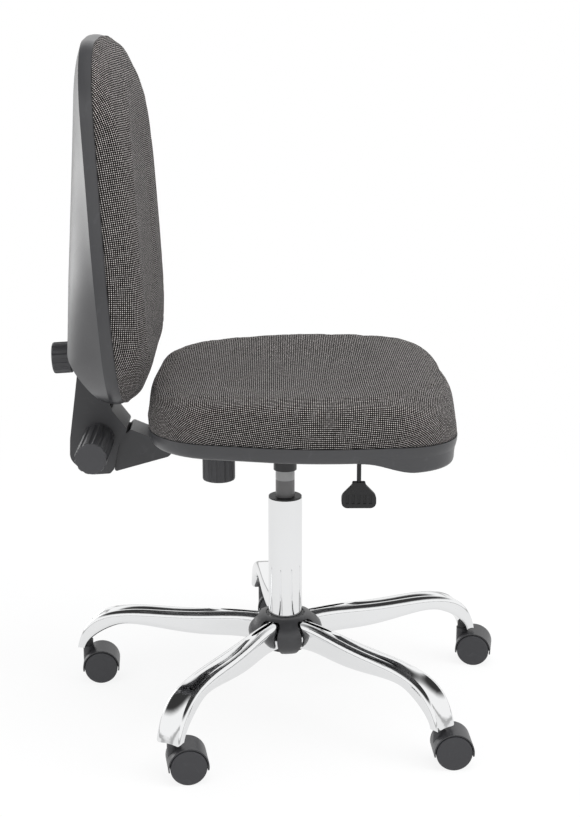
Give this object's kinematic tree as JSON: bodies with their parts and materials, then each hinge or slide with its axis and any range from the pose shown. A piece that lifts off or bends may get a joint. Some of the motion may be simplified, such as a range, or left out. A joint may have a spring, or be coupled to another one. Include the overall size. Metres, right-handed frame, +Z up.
{
  "type": "task chair",
  "caption": "Upholstered swivel task chair with a gas lift, a chromed five-arm base on twin-wheel casters, and a back that adjusts in height, depth and tilt.",
  "frame": {"origin": "on the floor, under the axis of the column", "axes": "+Z up along the column, -Y the way the sitter faces, -X to the right hand of the sitter"},
  "size_m": [0.6246, 0.6663, 0.9755],
  "materials": {
    "chrome": "polished",
    "dark_plastic": "fine grain",
    "black_plastic": "satin",
    "caster_plastic": "satin",
    "wheel_plastic": "satin",
    "black_steel": "powder coat",
    "bright_steel": "zinc plated",
    "weave": "dotted weave",
    "plywood": "sawn"
  },
  "bodies": {
    "base": {"hub_core": "black_steel", "hub_cover": "dark_plastic", "base_arm_1": "chrome", "base_arm_2": "chrome", "base_arm_3": "chrome", "base_arm_4": "chrome", "base_arm_5": "chrome", "caster_sockets": "chrome", "column_tube": "chrome", "column_bush": "dark_plastic", "column_ring": "black_plastic"},
    "lift_rod": {"piston_rod": "bright_steel", "thrust_bearing": "bright_steel"},
    "seat": {"gas_cylinder": "chrome", "seat_plate": "black_steel", "bar_guide": "black_steel", "lever_bracket": "black_steel", "seat_board": "plywood", "seat_cushion": "weave", "seat_pan": "dark_plastic", "board_bolts": "bright_steel", "pan_screws": "bright_steel"},
    "pin": {"release_pin": "bright_steel"},
    "lever": {"lever_rod": "black_steel", "lever_paddle": "black_plastic"},
    "depth_clamp": {"depth_knob": "dark_plastic", "depth_stud": "bright_steel"},
    "back_arm": {"arm_bar": "black_steel", "arm_shroud": "dark_plastic"},
    "upright": {"upright_bar": "black_steel", "upright_shroud": "dark_plastic"},
    "tilt_clamp": {"tilt_knob": "dark_plastic", "tilt_stud": "bright_steel"},
    "backrest": {"back_bracket": "black_steel", "back_board": "plywood", "back_cushion": "weave", "back_cover": "dark_plastic", "back_screws": "bright_steel"},
    "height_clamp": {"height_knob": "dark_plastic", "height_stud": "bright_steel"},
    "caster_1": {"caster_1_hood": "caster_plastic", "caster_1_pins": "bright_steel"},
    "caster_1_a": {"caster_1_wheel_a": "wheel_plastic"},
    "caster_1_b": {"caster_1_wheel_b": "wheel_plastic"},
    "caster_2": {"caster_2_hood": "caster_plastic", "caster_2_pins": "bright_steel"},
    "caster_2_a": {"caster_2_wheel_a": "wheel_plastic"},
    "caster_2_b": {"caster_2_wheel_b": "wheel_plastic"},
    "caster_3": {"caster_3_hood": "caster_plastic", "caster_3_pins": "bright_steel"},
    "caster_3_a": {"caster_3_wheel_a": "wheel_plastic"},
    "caster_3_b": {"caster_3_wheel_b": "wheel_plastic"},
    "caster_4": {"caster_4_hood": "caster_plastic", "caster_4_pins": "bright_steel"},
    "caster_4_a": {"caster_4_wheel_a": "wheel_plastic"},
    "caster_4_b": {"caster_4_wheel_b": "wheel_plastic"},
    "caster_5": {"caster_5_hood": "caster_plastic", "caster_5_pins": "bright_steel"},
    "caster_5_a": {"caster_5_wheel_a": "wheel_plastic"},
    "caster_5_b": {"caster_5_wheel_b": "wheel_plastic"}
  },
  "joints": [
    {"name": "seat_swivel", "type": "hinge", "parent": "base", "child": "lift_rod", "pos_m": [0, 0, 0], "axis": [0, 0, 1], "continuous": true},
    {"name": "seat_lift", "type": "slide", "parent": "lift_rod", "child": "seat", "axis": [0, 0, 1], "range_m": [-0.028, 0.1]},
    {"name": "gas_lever", "type": "hinge", "parent": "seat", "child": "lever", "pos_m": [-0.03713, -0.02068, 0.4306], "axis": [-0.4865, 0.8737, 0], "range_deg": [0, 4], "stiffness_Nm_per_rad": 2, "springref_deg": -2.86},
    {"name": "pin_press", "type": "slide", "parent": "seat", "child": "pin", "axis": [0, 0, -1], "range_m": [0, 0.0031]},
    {"name": "depth_knob_turn", "type": "hinge", "parent": "seat", "child": "depth_clamp", "pos_m": [0, 0.097, 0.36], "axis": [0, 0, 1], "range_deg": [0, 360]},
    {"name": "back_depth", "type": "slide", "parent": "seat", "child": "back_arm", "axis": [0, 1, 0], "range_m": [0, 0.05]},
    {"name": "back_tilt", "type": "hinge", "parent": "back_arm", "child": "upright", "pos_m": [0, 0.267, 0.4133], "axis": [-1, 0, 0], "range_deg": [0, 18]},
    {"name": "tilt_knob_turn", "type": "hinge", "parent": "upright", "child": "tilt_clamp", "pos_m": [0, 0.267, 0.4133], "axis": [1, 0, 0], "range_deg": [0, 360]},
    {"name": "back_height", "type": "slide", "parent": "upright", "child": "backrest", "axis": [0, 0.0593, 0.9982], "range_m": [0, 0.065]},
    {"name": "height_knob_turn", "type": "hinge", "parent": "backrest", "child": "height_clamp", "pos_m": [0, 0.27376, 0.5271], "axis": [0, 0.9982, -0.0593], "range_deg": [0, 360]},
    {"name": "caster_1_swivel", "type": "hinge", "parent": "base", "child": "caster_1", "pos_m": [0.30813, 0.03402, 0], "axis": [0, 0, 1], "continuous": true},
    {"name": "caster_1_roll_a", "type": "hinge", "parent": "caster_1", "child": "caster_1_a", "pos_m": [0.30746, 0.01503, 0.025], "axis": [0.9994, -0.0349, 0], "continuous": true},
    {"name": "caster_1_roll_b", "type": "hinge", "parent": "caster_1", "child": "caster_1_b", "pos_m": [0.30746, 0.01503, 0.025], "axis": [0.9994, -0.0349, 0], "continuous": true},
    {"name": "caster_2_swivel", "type": "hinge", "parent": "base", "child": "caster_2", "pos_m": [0.06286, 0.30356, 0], "axis": [0, 0, 1], "continuous": true},
    {"name": "caster_2_roll_a", "type": "hinge", "parent": "caster_2", "child": "caster_2_a", "pos_m": [0.06416, 0.2846, 0.025], "axis": [0.9977, 0.068, 0], "continuous": true},
    {"name": "caster_2_roll_b", "type": "hinge", "parent": "caster_2", "child": "caster_2_b", "pos_m": [0.06416, 0.2846, 0.025], "axis": [0.9977, 0.068, 0], "continuous": true},
    {"name": "caster_3_swivel", "type": "hinge", "parent": "base", "child": "caster_3", "pos_m": [-0.26928, 0.15359, 0], "axis": [0, 0, 1], "continuous": true},
    {"name": "caster_3_roll_a", "type": "hinge", "parent": "caster_3", "child": "caster_3_a", "pos_m": [-0.2664, 0.13481, 0.025], "axis": [0.9885, 0.1513, 0], "continuous": true},
    {"name": "caster_3_roll_b", "type": "hinge", "parent": "caster_3", "child": "caster_3_b", "pos_m": [-0.2664, 0.13481, 0.025], "axis": [0.9885, 0.1513, 0], "continuous": true},
    {"name": "caster_4_swivel", "type": "hinge", "parent": "base", "child": "caster_4", "pos_m": [-0.22929, -0.20863, 0], "axis": [0, 0, 1], "continuous": true},
    {"name": "caster_4_roll_a", "type": "hinge", "parent": "caster_4", "child": "caster_4_a", "pos_m": [-0.22859, -0.22762, 0.025], "axis": [0.9993, 0.0366, 0], "continuous": true},
    {"name": "caster_4_roll_b", "type": "hinge", "parent": "caster_4", "child": "caster_4_b", "pos_m": [-0.22859, -0.22762, 0.025], "axis": [0.9993, 0.0366, 0], "continuous": true},
    {"name": "caster_5_swivel", "type": "hinge", "parent": "base", "child": "caster_5", "pos_m": [0.12757, -0.28253, 0], "axis": [0, 0, 1], "continuous": true},
    {"name": "caster_5_roll_a", "type": "hinge", "parent": "caster_5", "child": "caster_5_a", "pos_m": [0.12424, -0.30124, 0.025], "axis": [0.9845, -0.1754, 0], "continuous": true},
    {"name": "caster_5_roll_b", "type": "hinge", "parent": "caster_5", "child": "caster_5_b", "pos_m": [0.12424, -0.30124, 0.025], "axis": [0.9845, -0.1754, 0], "continuous": true}
  ],
  "couplings": [
    {"joint": "pin_press", "follows": "gas_lever", "m_per_rad": 0.0425}
  ]
}
